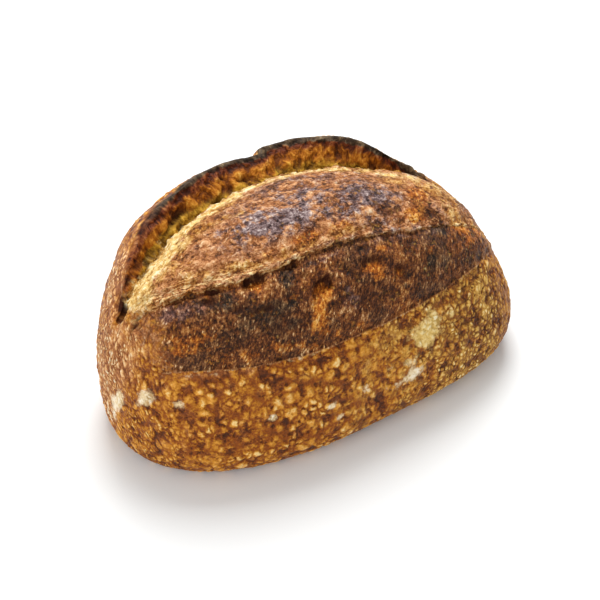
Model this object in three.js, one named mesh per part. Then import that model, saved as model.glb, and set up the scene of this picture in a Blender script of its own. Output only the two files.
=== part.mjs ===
// Sourdough loaf: a long hearth loaf, baked as one piece. One lengthwise score opened in the oven into two
// bulging bands of new crust, and lifted the skin behind it into a thin standing flap, the ear.
//
// Millimetres, +Z up. X runs along the loaf, the opened score faces -Y and up, and the ear is on the +Y side.
// The origin is the middle of the flat base, which rests on z = 0.
//
// The loaf is a skin of rings. Each ring is a closed cross-section at one place along X, and each of its
// points is a point of a plain rounded body, pushed out or in by a relief of seams, bands, trench and ear.
import * as THREE from "three";

// The plain body.
const LENGTH = 250;
const HALF_WIDTH = 75;
const WAIST_HEIGHT = 23; // where the loaf is widest
const CROWN_RISE = 101; // from the waist to the top of the plain body
const BELLY_DROP = 37; // from the waist to the bottom of the plain body, before the base flattens it
const CROWN_LEAN = 9.5; // how far the crown leans back over the waist
const BASE_FILLET = 3; // the soft turn from the side into the flat base

// Roundness: 2 is an ellipse, and more is blunter.
const PLAN_ROUNDNESS = { left: 2.3, right: 3.6 };
const SIDE_ROUNDNESS = { left: 2.55, right: 2.07 };
const BELLY_LENGTH_ROUNDNESS = 4;
const SECTION_ROUNDNESS = { front: 2.03, back: 2.4, below: 2.43 };

// The score, its two bands and the ear. Rise is a share of the crown's rise, and across is a share of the
// half-width, from -1 in front to 1 behind. A bowed line lies furthest back at its centre, given as an X.
const SEAM_RISE = { middle: 0.485, left: 0.36, leftPower: 3, right: 0.35, rightPower: 1.7 };
const RIDGE_ACROSS = { middle: -0.505, left: 0.66, leftPower: 4, right: -0.19 };
const TRENCH_EDGE_BOW = { peak: 0.42, drop: 0.65, centre: -19 };
const EAR_BOW = { peak: 0.583, drop: 1.2, centre: -3 };
const EAR_CLEARANCE_ACROSS = 0.06; // the least distance of the ear behind the trench's edge
const EAR_THICKNESS_ACROSS = 0.05;
const TRENCH_FLOOR_SHARE = 0.5; // of the way from the trench's edge to the ear
const LEAST_BAND_TURN = 0.12;
const LEAST_BAND_ACROSS = 0.2;
const BAND_BULGE = 2.5;
const SEAM_STEP = 1;
const RIDGE_STEP = 1.5;
const TRENCH_EDGE_SINK = 7; // how far the upper band rounds down to the trench
const TRENCH_DEPTH = 12;
const EAR_HEIGHT = 8.5;
const EAR_NOTCH = { x: 8, depth: 3, fade: 34 }; // a tear that steps the ear's edge
const SCORE_ENDS = { left: -121, leftFade: 44, right: 95, rightFade: 48 };
const SEAM_ENDS = { start: 0.78, end: 0.96 }; // shares of the half-length

// The mesh: how many rings, and at which line around a ring each feature lies.
const RINGS = 76;
const LINE = {
  base: 0,
  frontWaist: 6,
  seam: 10,
  ridge: 15,
  trenchEdge: 21,
  trenchFloor: 23,
  earInside: 26,
  earOutside: 27,
  backWaist: 32,
  baseAgain: 38,
};

const CRUST = { color: 0x8a4f22, roughness: 0.8, metalness: 0 };

const HALF_LENGTH = LENGTH / 2;

/** A smooth step from 0 at low to 1 at high. */
function smoothStep(low, high, value) {
  return THREE.MathUtils.smoothstep(value, low, high);
}

/** cos or sin bent to a rounded rectangle, keeping its sign. */
function blunted(value, roundness) {
  return Math.sign(value) * Math.abs(value) ** (2 / roundness);
}

/** How much of a full section is left at s, from -1 at the left end to 1 at the right end. */
function taper(s, roundness) {
  return (1 - Math.abs(s) ** roundness) ** (1 / roundness);
}

function halfWidthAt(s) {
  return HALF_WIDTH * taper(s, s < 0 ? PLAN_ROUNDNESS.left : PLAN_ROUNDNESS.right);
}

function crownAt(s) {
  return CROWN_RISE * taper(s, s < 0 ? SIDE_ROUNDNESS.left : SIDE_ROUNDNESS.right);
}

function bellyAt(s) {
  return BELLY_DROP * taper(s, BELLY_LENGTH_ROUNDNESS);
}

/** The turn, from 0 at the front waist to PI at the back waist, at which the body has this width share. */
function turnAcross(across) {
  if (across < 0) return Math.acos((-across) ** (SECTION_ROUNDNESS.front / 2));
  return Math.PI - Math.acos(across ** (SECTION_ROUNDNESS.back / 2));
}

/** The width share of a line that bows towards the back and comes forward at both ends. */
function bowedAcross({ peak, drop, centre }, s) {
  return peak - drop * (s - centre / HALF_LENGTH) ** 2;
}

/** The turn of the lower seam, which runs level and takes more of the crown's rise towards the ends. */
function seamTurn(s) {
  const { middle, left, leftPower, right, rightPower } = SEAM_RISE;
  const climb = s < 0 ? left * (-s) ** leftPower : right * s ** rightPower;
  return Math.asin(Math.min(middle + climb, 0.95) ** (SECTION_ROUNDNESS.front / 2));
}

/** The width share of the ridge between the two bands, which swings back at the left end. */
function ridgeAcross(s) {
  const { middle, left, leftPower, right } = RIDGE_ACROSS;
  return middle + (s < 0 ? left * (-s) ** leftPower : right * s * (1 - s));
}

/** The turn of each named line around the ring at s. */
function turnsAt(s) {
  const edge = bowedAcross(TRENCH_EDGE_BOW, s);
  const ear = Math.max(bowedAcross(EAR_BOW, s), edge + EAR_CLEARANCE_ACROSS);
  const ridge = turnAcross(Math.min(ridgeAcross(s), edge - LEAST_BAND_ACROSS));
  return {
    base: -Math.PI / 2,
    frontWaist: 0,
    seam: Math.min(seamTurn(s), ridge - LEAST_BAND_TURN),
    ridge,
    trenchEdge: turnAcross(edge),
    trenchFloor: turnAcross(THREE.MathUtils.lerp(edge, ear, TRENCH_FLOOR_SHARE)),
    earInside: turnAcross(ear),
    earOutside: turnAcross(ear + EAR_THICKNESS_ACROSS),
    backWaist: Math.PI,
    baseAgain: 1.5 * Math.PI,
  };
}

/** How far each named line stands out of the plain body at s. */
function reliefsAt(s) {
  const x = s * HALF_LENGTH;
  const seams = 1 - smoothStep(SEAM_ENDS.start, SEAM_ENDS.end, Math.abs(s));
  const open =
    smoothStep(SCORE_ENDS.left, SCORE_ENDS.left + SCORE_ENDS.leftFade, x) *
    (1 - smoothStep(SCORE_ENDS.right - SCORE_ENDS.rightFade, SCORE_ENDS.right, x));
  const notch = x < EAR_NOTCH.x ? smoothStep(EAR_NOTCH.x - EAR_NOTCH.fade, EAR_NOTCH.x, x) : 0;
  const ear = open * (EAR_HEIGHT - EAR_NOTCH.depth * notch);
  return {
    base: 0,
    frontWaist: 0,
    seam: SEAM_STEP * seams,
    ridge: RIDGE_STEP * seams,
    trenchEdge: -TRENCH_EDGE_SINK * open,
    trenchFloor: -TRENCH_DEPTH * open,
    earInside: ear,
    earOutside: ear,
    backWaist: 0,
    baseAgain: 0,
    bulge: BAND_BULGE * seams,
  };
}

/** The turn and the relief at a line number around the ring at s. */
function profileAt(s, line) {
  const turns = turnsAt(s);
  const reliefs = reliefsAt(s);
  const names = Object.keys(LINE);
  const next = Math.max(1, names.findIndex((name) => line <= LINE[name]));
  const [from, to] = [names[next - 1], names[next]];
  const share = (line - LINE[from]) / (LINE[to] - LINE[from]);
  const bulges = from === "seam" || from === "ridge";
  const band = bulges ? reliefs.bulge * Math.sin(Math.PI * share) : 0;
  return {
    turn: THREE.MathUtils.lerp(turns[from], turns[to], share),
    relief: THREE.MathUtils.lerp(reliefs[from], reliefs[to], smoothStep(0, 1, share)) + band,
  };
}

/** Rounds the underside into the flat base: 0 well below it, unchanged well above it. */
function restOnBase(z) {
  if (z <= -BASE_FILLET) return 0;
  if (z >= BASE_FILLET) return z;
  return (z + BASE_FILLET) ** 2 / (4 * BASE_FILLET);
}

/** The point of the crust at s along the loaf and at a line number around it. */
function crustPoint(s, line) {
  const { turn, relief } = profileAt(s, line);
  const [cos, sin] = [Math.cos(turn), Math.sin(turn)];
  const above = cos > 0 ? SECTION_ROUNDNESS.front : SECTION_ROUNDNESS.back;
  const roundness = sin < 0 ? SECTION_ROUNDNESS.below : above;
  const halfWidth = halfWidthAt(s);
  const rise = sin < 0 ? bellyAt(s) : crownAt(s);
  const y = -halfWidth * blunted(cos, roundness);
  const z = rise * blunted(sin, roundness);
  const out = new THREE.Vector2(y / (halfWidth ** 2 || 1), z / (rise ** 2 || 1)).normalize();
  const height = z + out.y * relief;
  return new THREE.Vector3(
    s * HALF_LENGTH,
    y + out.x * relief + CROWN_LEAN * Math.max(height / CROWN_RISE, 0),
    restOnBase(WAIST_HEIGHT + height),
  );
}

/** Places for the rings, from -1 to 1, evenly spaced along the body's outline to keep the blunt ends' shape. */
function ringPlaces(count) {
  const samples = 4000;
  const places = [];
  const walked = [0];
  for (let i = 0; i <= samples; i += 1) {
    const s = Math.sin(Math.PI * (i / samples - 0.5));
    places.push(s);
    if (i === 0) continue;
    const before = places[i - 1];
    const along = HALF_LENGTH * (s - before);
    const across = halfWidthAt(s) - halfWidthAt(before);
    const up = crownAt(s) - crownAt(before);
    walked.push(walked[i - 1] + Math.hypot(along, across, up));
  }
  const total = walked[samples];
  return Array.from({ length: count + 1 }, (_, ring) => {
    const i = walked.findIndex((length) => length >= (total * ring) / count - 1e-9);
    return places[i];
  });
}

/** The crust: a sphere with its poles at the loaf's ends, each vertex moved to its place on the loaf. */
function crustGeometry() {
  const lines = LINE.baseAgain;
  const sphere = new THREE.SphereGeometry(1, lines, RINGS);
  const places = ringPlaces(RINGS);
  const { position, uv } = sphere.attributes;
  for (let i = 0; i < position.count; i += 1) {
    const ring = Math.round((1 - uv.getY(i)) * RINGS);
    const isPole = ring === 0 || ring === RINGS;
    const line = isPole ? 0 : Math.round(uv.getX(i) * lines);
    const point = crustPoint(places[ring], line);
    position.setXYZ(i, point.x, point.y, point.z);
  }
  return sphere;
}

/** Moves a geometry so that the middle of its bounding box's underside is at the origin. */
function standAtOrigin(geometry) {
  geometry.computeBoundingBox();
  const { min, max } = geometry.boundingBox;
  geometry.translate(-(min.x + max.x) / 2, -(min.y + max.y) / 2, -min.z);
  geometry.computeVertexNormals();
  return geometry;
}

const crust = new THREE.MeshStandardMaterial(CRUST);
const loaf = new THREE.Mesh(standAtOrigin(crustGeometry()), crust);
loaf.name = "loaf";

const group = new THREE.Group();
group.add(loaf);

export default group;
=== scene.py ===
"""Sourdough loaf: the finished crust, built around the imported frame, and a small studio to see it in.

The crust is worked out in millimetres and written to its mesh in metres. X runs along the loaf, the
opened score faces -Y and up, and the ear is on the +Y side. A cross-section is a ring of named lines, from
the middle of the base up the front, over the score and down the back. Every place on the crust is then an X
and a distance around the ring from one of those lines.
"""
import logging
import math
from dataclasses import dataclass, field
from enum import Enum

import bpy
import numpy as np
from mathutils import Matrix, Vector


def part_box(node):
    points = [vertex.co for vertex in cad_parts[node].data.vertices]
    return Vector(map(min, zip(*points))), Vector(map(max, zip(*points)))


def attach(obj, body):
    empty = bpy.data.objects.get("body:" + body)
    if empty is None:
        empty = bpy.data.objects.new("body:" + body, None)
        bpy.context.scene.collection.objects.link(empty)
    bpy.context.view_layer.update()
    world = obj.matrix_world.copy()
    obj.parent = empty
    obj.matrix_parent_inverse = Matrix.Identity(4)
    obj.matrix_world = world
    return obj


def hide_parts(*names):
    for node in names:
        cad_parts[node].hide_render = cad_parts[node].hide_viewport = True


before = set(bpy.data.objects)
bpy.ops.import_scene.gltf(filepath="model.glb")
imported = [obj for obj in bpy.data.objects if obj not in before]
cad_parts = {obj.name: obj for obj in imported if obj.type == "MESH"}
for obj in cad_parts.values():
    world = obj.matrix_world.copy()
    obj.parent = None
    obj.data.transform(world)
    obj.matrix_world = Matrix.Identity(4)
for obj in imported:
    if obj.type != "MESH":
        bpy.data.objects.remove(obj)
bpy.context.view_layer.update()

MM = 0.001
NODE = "loaf"
BAKE_MAP = "OFBake"

logging.basicConfig(level=logging.INFO, format="%(levelname)s %(message)s")
LOG = logging.getLogger("sourdough")

Socket = bpy.types.NodeSocket
Value = Socket | float | tuple
Coat = tuple[Value, Value]
Sockets = bpy.types.bpy_prop_collection
Array = np.ndarray
Places = tuple[Array, Array]
Pair = tuple[float, float]
Triple = tuple[float, float, float]


def smooth_step(low: float, high: float, value: Array) -> Array:
    """A smooth step from 0 at low to 1 at high."""
    share = np.clip((value - low) / (high - low), 0.0, 1.0)
    return share * share * (3.0 - 2.0 * share)


def bell(value: Array, middle: Array | float, reach: float) -> Array:
    """1 where the value is at the middle, falling softly to 0 a few reaches away."""
    return np.exp(-(((value - middle) / reach) ** 2))


def ripple(along: Array, around: Array, size: float, seed: int) -> Array:
    """Smooth seeded noise from -1 to 1 over two directions.

    Args:
        along: the first coordinate of each point, in mm.
        around: the second coordinate of each point, in mm.
        size: the distance between the noise's knots, in mm.
        seed: which noise it is.

    Returns:
        One value for each point.
    """
    knots = 128
    table = np.random.default_rng(seed).uniform(-1.0, 1.0, (knots, knots))
    place = np.stack([along / size, around / size]) + knots
    cell = np.floor(place).astype(int)
    share = place - cell
    share = share * share * (3.0 - 2.0 * share)
    (i, j), (u, v) = cell % knots, share
    i_next, j_next = (i + 1) % knots, (j + 1) % knots
    low = table[i, j] * (1 - u) + table[i_next, j] * u
    high = table[i, j_next] * (1 - u) + table[i_next, j_next] * u
    return low * (1 - v) + high * v


def linear(code: str) -> tuple[float, float, float, float]:
    """The linear RGBA colour of a hex code such as b0752f."""
    channels = [int(code[i : i + 2], 16) / 255 for i in (0, 2, 4)]
    light = [c / 12.92 if c <= 0.04045 else ((c + 0.055) / 1.055) ** 2.4 for c in channels]
    return (*light, 1.0)


# ----------------------------------------------------------------------------------------------- shape


class Line(Enum):
    """The named lines around a cross-section, in their order."""

    BASE = 0
    FRONT_WAIST = 1
    SEAM = 2
    RIDGE = 3
    TRENCH_EDGE = 4
    TRENCH_FLOOR = 5
    EAR_INSIDE = 6
    EAR_OUTSIDE = 7
    BACK_WAIST = 8
    BASE_AGAIN = 9


@dataclass(frozen=True)
class PlainBody:
    """The rounded body under the score. Roundness 2 is an ellipse, and more is blunter."""

    half_length: float
    half_width: float = 75.0
    waist_height: float = 23.0
    crown_rise: float = 101.0
    belly_drop: float = 37.0
    crown_lean: float = 9.5
    base_fillet: float = 3.0
    plan_roundness: Pair = (2.3, 3.6)
    side_roundness: Pair = (2.55, 2.07)
    belly_roundness: float = 4.0
    front_roundness: float = 2.03
    back_roundness: float = 2.4
    below_roundness: float = 2.43

    @staticmethod
    def taper(s: Array, roundness: Pair) -> Array:
        """How much of a full section is left at s, from -1 at the left end to 1 at the right end."""
        power = np.where(s < 0, *roundness)
        return np.clip(1 - np.abs(s) ** power, 0, 1) ** (1 / power)

    def widths(self, s: Array) -> Array:
        """The half-width at s."""
        return self.half_width * self.taper(s, self.plan_roundness)

    def crowns(self, s: Array) -> Array:
        """The rise of the crown over the waist at s."""
        return self.crown_rise * self.taper(s, self.side_roundness)

    def bellies(self, s: Array) -> Array:
        """The drop of the belly below the waist at s."""
        return self.belly_drop * self.taper(s, (self.belly_roundness, self.belly_roundness))

    def turn_across(self, across: Array) -> Array:
        """The turn, from 0 at the front waist to pi at the back one, where the body has this width share."""
        front = np.arccos(np.clip(-across, 0, 1) ** (self.front_roundness / 2))
        back = np.pi - np.arccos(np.clip(across, 0, 1) ** (self.back_roundness / 2))
        return np.where(across < 0, front, back)

    def points(self, s: Array, turn: Array, relief: Array) -> Array:
        """The points of the crust.

        Args:
            s: place along the loaf, from -1 to 1.
            turn: place around the ring, in radians.
            relief: how far each point stands out of the plain body, in mm.

        Returns:
            The points, with X, Y and Z along the last axis.
        """
        cos, sin = np.cos(turn), np.sin(turn)
        above = np.where(cos > 0, self.front_roundness, self.back_roundness)
        roundness = np.where(sin < 0, self.below_roundness, above)
        width = np.maximum(self.widths(s), 1e-6)
        rise = np.maximum(np.where(sin < 0, self.bellies(s), self.crowns(s)), 1e-6)
        y = -width * np.sign(cos) * np.abs(cos) ** (2 / roundness)
        z = rise * np.sign(sin) * np.abs(sin) ** (2 / roundness)
        out_y, out_z = y / width**2, z / rise**2
        length = np.hypot(out_y, out_z) + 1e-12
        height = z + out_z / length * relief
        lean = self.crown_lean * np.maximum(height / self.crown_rise, 0)
        across = y + out_y / length * relief + lean
        along = np.broadcast_to(s * self.half_length, across.shape)
        return np.stack([along, across, self.rest_on_base(self.waist_height + height)], -1)

    def rest_on_base(self, z: Array) -> Array:
        """Rounds the underside into the flat base."""
        rounded = np.clip(z + self.base_fillet, 0, None) ** 2 / (4 * self.base_fillet)
        return np.where(z >= self.base_fillet, z, rounded)


@dataclass(frozen=True)
class Score:
    """Where the opened score's lines run, and how far each stands out of the plain body.

    Rises are shares of the crown's rise, and acrosses are shares of the half-width, from -1 in front to 1
    behind. The rest is in mm.
    """

    seam_rise: float = 0.485
    seam_climb: Pair = (0.36, 0.35)
    seam_climb_power: Pair = (3.0, 2.2)
    most_seam_rise: float = 0.95
    ridge_across: float = -0.505
    ridge_swing: Pair = (0.66, -0.19)
    edge_across: Triple = (0.42, 0.65, -19.0)
    ear_across: Triple = (0.583, 1.2, -3.0)
    ear_clearance: float = 0.06
    ear_thickness: float = 0.05
    floor_share: float = 0.5
    least_band_turn: float = 0.12
    least_band_across: float = 0.2
    bulge: float = 2.5
    seam_step: float = 1.0
    ridge_step: float = 1.5
    edge_sink: float = 7.0
    depth: float = 9.0
    ear_height: float = 8.5
    notch_x: float = 8.0
    notch_depth: float = 3.0
    notch_fade: float = 34.0
    opens: Pair = (-121.0, -77.0)
    closes: Pair = (47.0, 95.0)
    seam_ends: Pair = (0.78, 0.96)

    @staticmethod
    def bowed(sizes: Triple, body: PlainBody, s: Array) -> Array:
        """The width share of a line that bows towards the back: its peak, its drop and its centre's X."""
        peak, drop, centre = sizes
        return peak - drop * (s - centre / body.half_length) ** 2

    def turns(self, body: PlainBody, s: Array) -> Array:
        """The turn of each named line around the rings at s, one row for each line."""
        edge = self.bowed(self.edge_across, body, s)
        ear = np.maximum(self.bowed(self.ear_across, body, s), edge + self.ear_clearance)
        left, right = self.ridge_swing
        swing = np.where(s < 0, left * np.abs(s) ** 4, right * s * (1 - s))
        ridge = body.turn_across(np.minimum(self.ridge_across + swing, edge - self.least_band_across))
        climb = np.where(s < 0, *self.seam_climb) * np.abs(s) ** np.where(s < 0, *self.seam_climb_power)
        rise = np.minimum(self.seam_rise + climb, self.most_seam_rise)
        seam = np.arcsin(rise ** (body.front_roundness / 2))
        level = np.zeros_like(s)
        return np.stack([
            level - np.pi / 2,
            level,
            np.minimum(seam, ridge - self.least_band_turn),
            ridge,
            body.turn_across(edge),
            body.turn_across(edge + (ear - edge) * self.floor_share),
            body.turn_across(ear),
            body.turn_across(ear + self.ear_thickness),
            level + np.pi,
            level + 1.5 * np.pi,
        ])

    def seams(self, s: Array) -> Array:
        """1 where the seams show, fading to 0 at the ends."""
        return 1 - smooth_step(*self.seam_ends, np.abs(s))

    def open(self, x: Array) -> Array:
        """1 where the score is open, fading to 0 at its ends."""
        return smooth_step(*self.opens, x) * (1 - smooth_step(*self.closes, x))

    def reliefs(self, body: PlainBody, s: Array) -> Array:
        """How far each named line stands out of the plain body at s, one row for each line."""
        x = s * body.half_length
        seams, opened, level = self.seams(s), self.open(x), np.zeros_like(s)
        notch = np.where(x < self.notch_x, smooth_step(self.notch_x - self.notch_fade, self.notch_x, x), 0)
        ear = opened * (self.ear_height - self.notch_depth * notch)
        return np.stack([
            level,
            level,
            self.seam_step * seams,
            self.ridge_step * seams,
            -self.edge_sink * opened,
            -self.depth * opened,
            ear,
            ear,
            level,
            level,
        ])


@dataclass(frozen=True)
class Weave:
    """How finely the crust is meshed: rings along the loaf, and lines in each stretch around a ring."""

    rings: int = 400
    stretches: tuple[int, ...] = (26, 42, 42, 50, 12, 18, 5, 38, 15)
    samples: int = 160
    place_samples: int = 8001
    base_height: float = 0.4
    base_weight: float = 0.12
    line_weight: float = 1.6
    line_reach: float = 2.5
    end_weight: float = 0.7

    @property
    def lines(self) -> int:
        """The number of lines around a ring."""
        return sum(self.stretches)


class CrustGrid:
    """The points of the crust on a grid of rings and lines, with distances along and around it in mm."""

    def __init__(self, body: PlainBody, score: Score, weave: Weave) -> None:
        self.body = body
        self.score = score
        self.weave = weave
        self.s, self.walked = self.ring_places()
        self.turns = score.turns(body, self.s[:, 0])
        self.reliefs = score.reliefs(body, self.s[:, 0])
        shares = [self.even_shares(k, count) for k, count in enumerate(weave.stretches)]
        self.points = np.concatenate([self.stretch(k, share) for k, share in enumerate(shares)], 1)
        self.points[..., 1] -= self.middle_y()
        self.rest = self.points
        steps = np.linalg.norm(np.diff(self.points, axis=1), axis=-1)
        self.around = np.concatenate([np.zeros_like(self.s), np.cumsum(steps, 1)], 1)
        self.starts = np.concatenate([[0], np.cumsum(weave.stretches)])
        self.x = self.points[..., 0]
        self.opened = np.broadcast_to(score.open(self.x[:, :1]), self.x.shape)

    def ring_places(self) -> tuple[Array, Array]:
        """Ring places from -1 to 1, evenly spaced over the surface, and how far along it each one is."""
        s = np.sin(np.linspace(-np.pi / 2, np.pi / 2, self.weave.place_samples))
        body, end = self.body, self.weave.end_weight
        steps = [np.diff(s) * body.half_length, end * np.diff(body.widths(s)), end * np.diff(body.crowns(s))]
        walked = np.concatenate([[0], np.cumsum(np.linalg.norm(steps, axis=0))])
        even = np.linspace(0, walked[-1], self.weave.rings + 1)
        return np.interp(even, walked, s)[:, None], even[:, None]

    def stretch(self, k: int, share: Array) -> Array:
        """The points in stretch k, between named lines k and k + 1, at these shares of the way."""
        turn = self.turns[k][:, None] * (1 - share) + self.turns[k + 1][:, None] * share
        eased = smooth_step(0, 1, share)
        relief = self.reliefs[k][:, None] * (1 - eased) + self.reliefs[k + 1][:, None] * eased
        if k in (Line.SEAM.value, Line.RIDGE.value):
            relief = relief + self.score.bulge * self.score.seams(self.s) * np.sin(np.pi * share)
        return self.body.points(self.s, turn, relief)

    def even_shares(self, k: int, count: int) -> Array:
        """Shares that space the lines of stretch k evenly, closer near the score's lines and few below."""
        weave = self.weave
        fine = np.broadcast_to(np.linspace(0, 1, weave.samples), (weave.rings + 1, weave.samples))
        points = self.stretch(k, fine)
        steps = np.linalg.norm(np.diff(points, axis=1), axis=-1) + 1e-9
        run = np.cumsum(steps, 1)
        weight = np.ones_like(run)
        if Line.SEAM.value <= k <= Line.EAR_OUTSIDE.value:
            weight += weave.line_weight * bell(run, 0.0, weave.line_reach)
        if Line.FRONT_WAIST.value <= k < Line.EAR_OUTSIDE.value:
            weight += weave.line_weight * bell(run, run[:, -1:], weave.line_reach)
        weight *= np.where(points[:, 1:, 2] < weave.base_height, weave.base_weight, 1)
        weighted = np.concatenate([np.zeros_like(self.s), np.cumsum(steps * weight, 1)], 1)
        even = np.arange(count + (k + 1 == len(weave.stretches))) / count
        return np.stack([np.interp(even * row[-1], row, fine[0]) for row in weighted])

    def middle_y(self) -> float:
        """How far the middle of the loaf's width is from Y = 0, before it is centred on the frame."""
        y = self.points[..., 1]
        low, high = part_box(NODE)
        return float((y.min() + y.max()) / 2 - (low.y + high.y) / 2 / MM)

    def above(self, line: Line) -> Array:
        """The distance around the ring from a named line, in mm, and negative before it."""
        return self.around - self.around[:, self.starts[line.value]][:, None]

    def normals(self) -> Array:
        """Unit normals that point out of the crust."""
        along, around = np.gradient(self.points, axis=0), np.gradient(self.points, axis=1)
        out = np.cross(around, along)
        out /= np.linalg.norm(out, axis=-1, keepdims=True) + 1e-12
        middle = self.weave.rings // 2, self.starts[Line.RIDGE.value]
        return out * np.sign(out[middle][2])

    def push(self, height: Array) -> None:
        """Moves every point out along its normal by its height in mm."""
        self.points = self.points + self.normals() * height[..., None]


# ----------------------------------------------------------------------------------- places on the crust


@dataclass(frozen=True)
class Spot:
    """A soft oval place: its X, its distance above a named line and its half sizes, all in mm."""

    x: float
    line: Line
    above: float
    along: float
    around: float
    strength: float = 1.0
    power: float = 2.0

    def weight(self, grid: CrustGrid) -> Array:
        """How much of the spot is at each point of the grid, up to its strength."""
        across = (grid.x - self.x) / self.along
        up = (grid.above(self.line) - self.above) / self.around
        return self.strength * np.exp(-((across**2 + up**2) ** (self.power / 2)))


@dataclass(frozen=True)
class Paint:
    """A tint worked into the crust by its oven, as soft spots over an even amount; the frost's tint is
    partly a painted sheen.
    """

    name: str
    spots: tuple[Spot, ...]

    def cover(self, grid: CrustGrid) -> Array:
        """The amount at each point of the grid, from 0 to 1."""
        left = np.ones_like(grid.x)
        for spot in self.spots:
            left = left * (1 - np.clip(spot.weight(grid), 0, 1))
        return 1 - left


@dataclass(frozen=True)
class Arch:
    """A burst blister on the front lobe: a round-topped recess that runs out downwards. Sizes in mm.

    A fade is where a soft border begins and ends, down from the round top; the run-out's is a share of the
    length.
    """

    x: float
    top: float
    half_width: float
    length: float
    depth: float
    lean: float
    roundness: float = 0.35
    side_power: int = 6
    top_fade: Pair = (-0.3, 0.5)
    run_out: Pair = (0.2, 1.0)
    rim_fades: tuple[Pair, Pair] = ((-1.0, 0.2), (1.6, 3.4))

    def place(self, grid: CrustGrid) -> tuple[Array, Array]:
        """Each point's distance down from the round top, in mm, and its share of the half-width across."""
        down = self.top - grid.above(Line.RIDGE)
        across = (grid.x + self.lean * down - self.x) / self.half_width
        return down - self.roundness * self.half_width * across**2, across

    def recess(self, grid: CrustGrid) -> Array:
        """How much of the recess each point is in, from 0 to 1."""
        down, across = self.place(grid)
        sides = np.exp(-(across**self.side_power))
        ends = 1 - smooth_step(*self.run_out, down / self.length)
        return smooth_step(*self.top_fade, down) * sides * ends

    def rim(self, grid: CrustGrid) -> Array:
        """The shaded strip just under the recess's top edge, from 0 to 1."""
        down, across = self.place(grid)
        sides = np.exp(-(across**self.side_power))
        begins, ends = self.rim_fades
        return smooth_step(*begins, down) * (1 - smooth_step(*ends, down)) * sides


SEAM, RIDGE, EDGE, LIP, BACK = Line.SEAM, Line.RIDGE, Line.TRENCH_EDGE, Line.EAR_INSIDE, Line.BACK_WAIST


def marks(line: Line, *rows: tuple[float, ...]) -> tuple[Spot, ...]:
    """Spots measured from one line, each row with the rest of a spot's sizes in their order."""
    return tuple(Spot(x, line, *sizes) for x, *sizes in rows)


ARCHES = (
    Arch(-14, -14.2, 5.2, 17.0, 4.8, 0.6),
    Arch(-48.5, 0.5, 6.2, 10.0, 4.2, 0.5),
    Arch(15, -12.0, 6.5, 11.0, 2.5, 0.2),
    Arch(30, -19.0, 2.8, 8.0, 2.0, 0.3),
)

PITS = (
    *marks(SEAM, (-44, 19, 12, 4, 0.9)),
    *marks(
        RIDGE,
        (-71, -1.6, 3.8, 2.1, 2.6, 4), (-75, -6.2, 2.8, 2.6, 2, 4), (-28, -2.2, 3.6, 1.8, 1.8, 4),
        (-89, -1.5, 4, 1.6, 1.2, 4), (-24, -9.7, 2.6, 2, 1.2, 4), (47, -2.6, 4, 1.5, 1.2, 4),
        (25, 40, 2.4, 2.2, 2, 4), (-108.8, -4.7, 2.4, 1.5, 2.2, 4), (-106.1, -2.2, 1.4, 1.2, 1.6, 4),
        (-107.2, -7.4, 1.6, 1.2, 1.2, 4), (-51, -18.5, 10, 1.8, 1.5, 4), (-63, -14, 5, 1.6, 1.2, 4),
    ),
    *marks(LIP, (-108.3, -2, 4, 6, 2.4, 4), (-24, -8, 1.8, 1.4, 2, 4)),
)

CAVITIES = (
    *marks(
        EDGE,
        (-59, 10.5, 8, 2.2, 3.2, 4), (-68, 8.5, 4, 1.6, 2.2, 4), (-33, 3, 5, 3, 3, 4),
        (-11, 12, 5, 2, 2.6, 4), (12, 5.5, 8, 2.2, 1.6, 4), (-84, 7.5, 5, 2, 1.6, 4),
    ),
)

SWELLS = (
    *marks(
        RIDGE,
        (-90, -10, 11, 8, 2.2), (-57, -12, 13, 9, 1.5), (18, -14, 16, 9, 1.5), (54, -15, 13, 8, 1.3),
        (-64, 14, 18, 6, 0.9), (-40, 26, 22, 12), (30, 30, 20, 14, 0.8),
    ),
    *marks(EDGE, (-88, 4.5, 13, 3.4, 3)),
    *marks(LIP, (-104, -3, 1.5, 4, 2.4), (81, -0.5, 2.2, 1.8, 1.2, 4), (87, 0, 1.8, 1.6, 1.4, 4)),
)

CHAR = Paint("char", (
    *marks(
        RIDGE,
        (-50, -20, 14, 6, 0.95), (-60, -27, 14, 5, 0.6), (-40, -31, 10, 4, 0.7), (-68, -8, 6, 7, 0.8),
        (-34, -10, 5, 10, 0.6), (-26, -5, 14, 4, 0.5), (40, -29, 22, 7, 0.45), (56, -20, 12, 6, 0.5),
        (42, -5, 12, 4, 0.5), (80, -5, 8, 6, 0.5), (67, 3, 6, 10, 1, 4), (2, -24, 10, 12, 0.35),
        (40, 14, 16, 6, 0.5), (-2, 14, 14, 4, 0.4), (-36, 16, 14, 3, 0.35), (52, 30, 8, 8, 0.4),
    ),
))

TOAST = Paint("toast", (
    *marks(SEAM, (-60, 8, 26, 6, 0.4), (-22, 9, 18, 6, 0.45)),
    *marks(
        RIDGE,
        (-17, -21, 4.5, 4.5), (-23, -29, 5, 6, 0.9), (-26, -37, 7, 5, 0.6), (16, -19.5, 6, 6, 0.9),
        (9, -17, 4, 3, 0.6), (29, -23, 2.2, 4, 0.9), (24, -9, 4, 3, 0.6), (-51, -6.5, 3.6, 2.6, 0.95),
        (-92, -25, 16, 9, 0.45), (-78, 11, 24, 13, 0.95), (-42, 6, 22, 6, 0.75), (-16, 9, 16, 7, 0.6),
        (8, 6, 14, 5, 0.6), (50, 33, 20, 12, 0.5), (52, -12, 4, 4, 0.35), (-30, 47, 30, 8, 0.35),
    ),
))

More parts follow.
